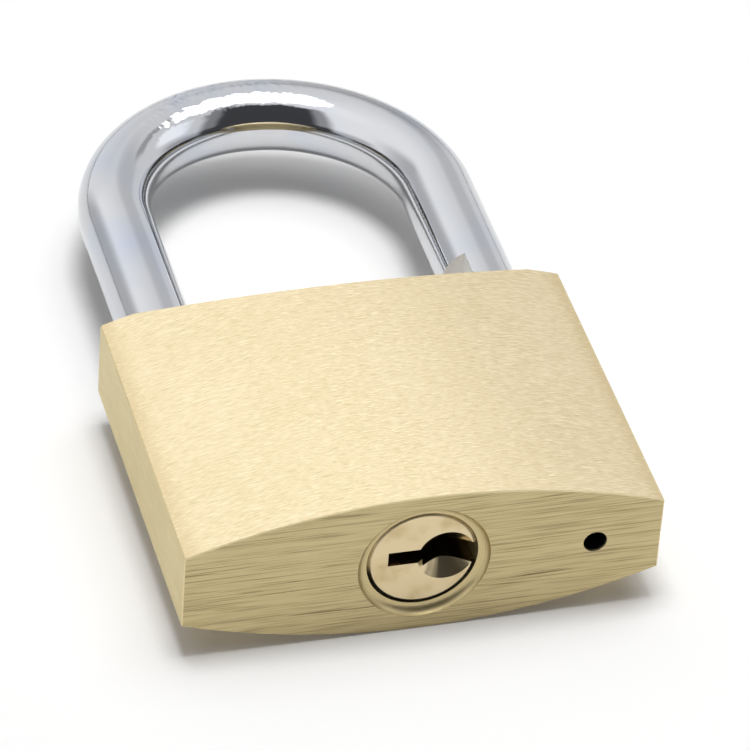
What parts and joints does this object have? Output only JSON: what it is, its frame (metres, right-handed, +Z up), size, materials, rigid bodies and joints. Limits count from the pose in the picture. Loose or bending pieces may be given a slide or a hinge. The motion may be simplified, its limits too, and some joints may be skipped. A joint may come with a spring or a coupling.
{
  "type": "padlock",
  "caption": "Solid brass padlock with bowed faces and a round chromed shackle, standing open, with a pin cylinder, sprung latch and captive heel leg inside.",
  "frame": {"origin": "middle of the lock's footprint, on the surface that it lies on", "axes": "+Y along the shackle's legs from the keyway end to the bow, +Z up out of the front face, +X across towards the toe leg"},
  "size_m": [0.05, 0.0824, 0.0172],
  "materials": {
    "brushed_brass": "satin, brushed across",
    "chromed_steel": "mirror chrome plate",
    "plug_brass": "polished",
    "pin_brass": "turned",
    "plain_steel": "turned",
    "spring_wire": "drawn wire"
  },
  "bodies": {
    "lock_body": {"lock_body": "brushed_brass", "heel_retaining_pin": "plain_steel", "heel_bore_plug": "brushed_brass", "shackle_spring": "spring_wire", "plug_retaining_pin": "plain_steel", "retainer_bore_plug": "brushed_brass", "latch_spring": "spring_wire", "latch_bore_plug": "brushed_brass", "chamber_plugs": "brushed_brass", "driver_spring_1": "spring_wire", "driver_spring_2": "spring_wire", "driver_spring_3": "spring_wire", "driver_spring_4": "spring_wire"},
    "shackle_carrier": {"spring_cap": "plain_steel"},
    "shackle": {"shackle": "chromed_steel"},
    "plug": {"cylinder_plug": "plug_brass", "tail_cam": "plug_brass"},
    "latch": {"latch_bolt": "plain_steel"},
    "key_pin_1": {"key_pin_1": "pin_brass"},
    "driver_pin_1": {"driver_pin_1": "pin_brass"},
    "key_pin_2": {"key_pin_2": "pin_brass"},
    "driver_pin_2": {"driver_pin_2": "pin_brass"},
    "key_pin_3": {"key_pin_3": "pin_brass"},
    "driver_pin_3": {"driver_pin_3": "pin_brass"},
    "key_pin_4": {"key_pin_4": "pin_brass"},
    "driver_pin_4": {"driver_pin_4": "pin_brass"}
  },
  "joints": [
    {"name": "shackle_lift", "type": "slide", "parent": "lock_body", "child": "shackle_carrier", "axis": [0, 1, 0], "range_m": [-0.00805, 0], "stiffness_N_per_m": 400, "springref_m": 0.006, "deforming": ["shackle_spring"]},
    {"name": "shackle_swing", "type": "hinge", "parent": "shackle_carrier", "child": "shackle", "pos_m": [-0.018, -0.0028, 0.0086], "axis": [0, -1, 0], "continuous": true},
    {"name": "plug_turn", "type": "hinge", "parent": "lock_body", "child": "plug", "pos_m": [0, -0.0404, 0.0086], "axis": [0, 1, 0], "range_deg": [0, 90]},
    {"name": "latch_slide", "type": "slide", "parent": "lock_body", "child": "latch", "axis": [-1, 0, 0], "range_m": [-0.0025, 0], "stiffness_N_per_m": 300, "springref_m": -0.006, "deforming": ["latch_spring"]},
    {"name": "key_pin_1_slide", "type": "slide", "parent": "plug", "child": "key_pin_1", "axis": [-1, 0, 0], "range_m": [-0.00196, 0]},
    {"name": "driver_pin_1_slide", "type": "slide", "parent": "lock_body", "child": "driver_pin_1", "axis": [-1, 0, 0], "range_m": [-0.00196, 0], "stiffness_N_per_m": 80, "springref_m": -0.005, "deforming": ["driver_spring_1"]},
    {"name": "key_pin_2_slide", "type": "slide", "parent": "plug", "child": "key_pin_2", "axis": [-1, 0, 0], "range_m": [-0.00116, 0]},
    {"name": "driver_pin_2_slide", "type": "slide", "parent": "lock_body", "child": "driver_pin_2", "axis": [-1, 0, 0], "range_m": [-0.00116, 0], "stiffness_N_per_m": 80, "springref_m": -0.005, "deforming": ["driver_spring_2"]},
    {"name": "key_pin_3_slide", "type": "slide", "parent": "plug", "child": "key_pin_3", "axis": [-1, 0, 0], "range_m": [-0.00156, 0]},
    {"name": "driver_pin_3_slide", "type": "slide", "parent": "lock_body", "child": "driver_pin_3", "axis": [-1, 0, 0], "range_m": [-0.00156, 0], "stiffness_N_per_m": 80, "springref_m": -0.005, "deforming": ["driver_spring_3"]},
    {"name": "key_pin_4_slide", "type": "slide", "parent": "plug", "child": "key_pin_4", "axis": [-1, 0, 0], "range_m": [-0.000557, 0]},
    {"name": "driver_pin_4_slide", "type": "slide", "parent": "lock_body", "child": "driver_pin_4", "axis": [-1, 0, 0], "range_m": [-0.000557, 0], "stiffness_N_per_m": 80, "springref_m": -0.005, "deforming": ["driver_spring_4"]}
  ],
  "couplings": [
    {"joint": "driver_pin_1_slide", "follows": "key_pin_1_slide", "ratio": 1},
    {"joint": "driver_pin_2_slide", "follows": "key_pin_2_slide", "ratio": 1},
    {"joint": "driver_pin_3_slide", "follows": "key_pin_3_slide", "ratio": 1},
    {"joint": "driver_pin_4_slide", "follows": "key_pin_4_slide", "ratio": 1}
  ]
}
